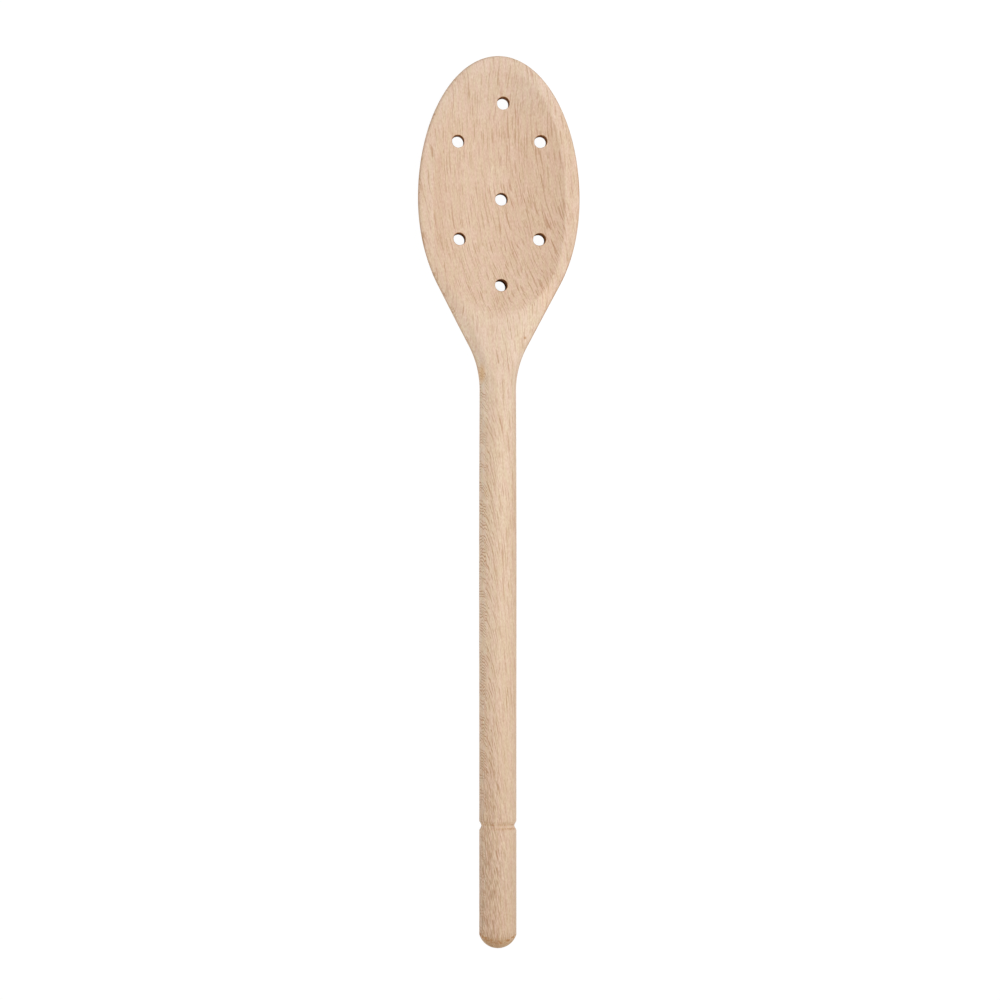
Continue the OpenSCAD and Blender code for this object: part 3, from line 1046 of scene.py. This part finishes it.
def sanded_beech(figure):
    """The outside of the spoon."""
    made, tree, shader, coords, wood = start_material("sanded beech", figure)
    where = coords["Object"]
    x, y, z = in_mm(tree, where)
    facing = apart(tree, coords["Normal"])
    bowl = node(tree, "Attribute", attribute_name="bowl").outputs["Fac"]
    edge = node(tree, "Attribute", attribute_name="edge").outputs["Fac"]
    mottle = noise(tree, stretch(tree, where, MOTTLE), 3.0, 0.6)
    carved = ramp(tree, bowl, 0.965, 1.0, 1.0, 0.0)
    feed(tree, wood.inputs["Coarseness"], ramp(tree, y, -76, -112, 1.0, 1.35))
    feed(tree, wood.inputs["Crowding"], ray_crowding(tree, x, y, carved))

    # Painted shade in the bowl comes first; more painted light and shade are among the tints below
    tints = [(painted_bowl_shade(tree, x, y, carved), PAINTED_BOWL_SHADE)]
    tints += head_tints(tree, where, x, y, edge)
    tints += handle_tints(tree, where, x, y, facing, mottle)
    tints += butt_tints(tree, x, y, z, facing)
    colour = wood.outputs["Color"]
    for share, tint in tints:
        colour = tinted(tree, colour, share, tint)
    rust_and_shade = rust_and_shade_marks(tree, where, x, y, edge, facing, mottle)
    feed(tree, shader.inputs["Base Color"], blend(tree, rust_and_shade, colour, RUST_SPECK))
    shader.inputs["Specular IOR Level"].default_value = SANDED_SPECULAR
    sand_finish(tree, shader, wood, SANDED_ROUGHNESS)
    return made


# The walls of the drain holes

DRILLED_BROWN = (0.500, 0.235, 0.105)
# Dark brown of the hole walls: partly scorching, partly painted shade inside the holes
SCORCH_AND_SHADE = (0.200, 0.085, 0.035)
HOLE_DEPTH_SHADE = (0.46, 0.40, 0.37)
DRILLED_ROUGHNESS = 0.7


def drilled_beech(figure):
    """The walls of the drain holes, dark brown partly as scorching from the drill and partly as painted
    shade, with painted shade growing the deeper they lie.
    """
    made, tree, shader, coords, wood = start_material("drilled beech", figure)
    z = in_mm(tree, coords["Object"])[2]
    facing = apart(tree, coords["Normal"])
    uneven = ramp(tree, wood.outputs["Fibres"], 0.35, 0.65)
    browned_and_shaded = blend(tree, uneven, SCORCH_AND_SHADE, DRILLED_BROWN)
    # Painted shade, darker the deeper the wall lies in the hole
    browned_and_shaded = tinted(tree, browned_and_shaded, ramp(tree, z, 5.2, 2.8), HOLE_DEPTH_SHADE)
    eased = ramp(tree, calc(tree, "ABSOLUTE", facing[2]), 0.15, 0.85)
    feed(tree, shader.inputs["Base Color"], blend(tree, eased, browned_and_shaded, RUST_SPECK))
    shader.inputs["Specular IOR Level"].default_value = 0.0
    sand_finish(tree, shader, wood, DRILLED_ROUGHNESS)
    return made


spoon = make_spoon()
figure = beech_figure()
spoon.data.materials.clear()
spoon.data.materials.append(sanded_beech(figure))
spoon.data.materials.append(drilled_beech(figure))
mark_walls(spoon.data)
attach(spoon, "root")
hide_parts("spoon")

# Floor, light and camera, in metres

FLOOR_HALF = 2.0
FLOOR_WHITE = (0.9, 0.9, 0.9)
SEEN_SHADOW = (0.06, 0.06, 0.06)
SEEN_WHITE = (0.97, 0.97, 0.97)

LIGHT_AIM = (0, 0.02, 0)
# Name, width, power in watts and place
LIGHTS = [
    ("key", 0.5, 3.5, (0.354, 0.354, 0.866)),
    ("fill", 0.5, 2.33, (-0.354, -0.354, 0.866)),
    ("side", 0.4, 0.93, (0.819, 0.0, 0.574)),
]
SKY_STRENGTH = 0.413

CAMERA_PLACE = (-0.095, -0.03, 0.95)
CAMERA_AIM = (0.000565, 0.00025, 0.008)
CAMERA_LENS = 101.365
CAMERA_SENSOR = 36
CAMERA_ROLL = -0.000075


def make_floor():
    """A white sweep. What the camera sees of it is nearly even, with a faint shadow left in it."""
    sheet = bmesh.new()
    bmesh.ops.create_grid(sheet, x_segments=1, y_segments=1, size=FLOOR_HALF)
    floor = as_object(sheet, "floor")
    made = bpy.data.materials.new("white sweep")
    made.use_nodes = True
    tree = made.node_tree
    tree.nodes.clear()
    plain = node(tree, "BsdfDiffuse")
    feed(tree, plain.inputs["Color"], FLOOR_WHITE)
    faint = node(tree, "BsdfDiffuse")
    feed(tree, faint.inputs["Color"], SEEN_SHADOW)
    glow = node(tree, "Emission")
    feed(tree, glow.inputs["Color"], SEEN_WHITE)
    seen = node(tree, "AddShader")
    feed(tree, seen.inputs[0], glow.outputs[0])
    feed(tree, seen.inputs[1], faint.outputs[0])
    path = node(tree, "LightPath").outputs
    direct = strongest(tree, path["Is Camera Ray"], path["Is Glossy Ray"], path["Is Transmission Ray"])
    either = node(tree, "MixShader")
    feed(tree, either.inputs[0], direct)
    feed(tree, either.inputs[1], plain.outputs[0])
    feed(tree, either.inputs[2], seen.outputs[0])
    out = node(tree, "OutputMaterial")
    feed(tree, out.inputs["Surface"], either.outputs[0])
    floor.data.materials.append(made)


def area_light(name, size, power, place):
    data = bpy.data.lights.new(name, "AREA")
    data.shape = "DISK"
    data.size = size
    data.energy = power
    made = bpy.data.objects.new(name, data)
    made.location = place
    made.rotation_euler = (Vector(LIGHT_AIM) - Vector(place)).to_track_quat("-Z", "Y").to_euler()
    bpy.context.scene.collection.objects.link(made)


def make_camera():
    data = bpy.data.cameras.new("camera")
    data.lens = CAMERA_LENS
    data.sensor_width = CAMERA_SENSOR
    made = bpy.data.objects.new("camera", data)
    forward = (Vector(CAMERA_AIM) - Vector(CAMERA_PLACE)).normalized()
    right = forward.cross(Vector((0, 1, 0))).normalized()
    up = right.cross(forward)
    turn = Matrix((right, up, -forward)).transposed() @ Matrix.Rotation(CAMERA_ROLL, 3, "Z")
    made.matrix_world = Matrix.Translation(CAMERA_PLACE) @ turn.to_4x4()
    bpy.context.scene.collection.objects.link(made)
    bpy.context.scene.camera = made


def make_sky():
    world = bpy.data.worlds.new("studio")
    world.use_nodes = True
    background = world.node_tree.nodes["Background"]
    background.inputs["Color"].default_value = (1, 1, 1, 1)
    background.inputs["Strength"].default_value = SKY_STRENGTH
    bpy.context.scene.world = world


make_floor()
for light in LIGHTS:
    area_light(*light)
make_camera()
make_sky()
bpy.context.scene.view_settings.view_transform = "Standard"
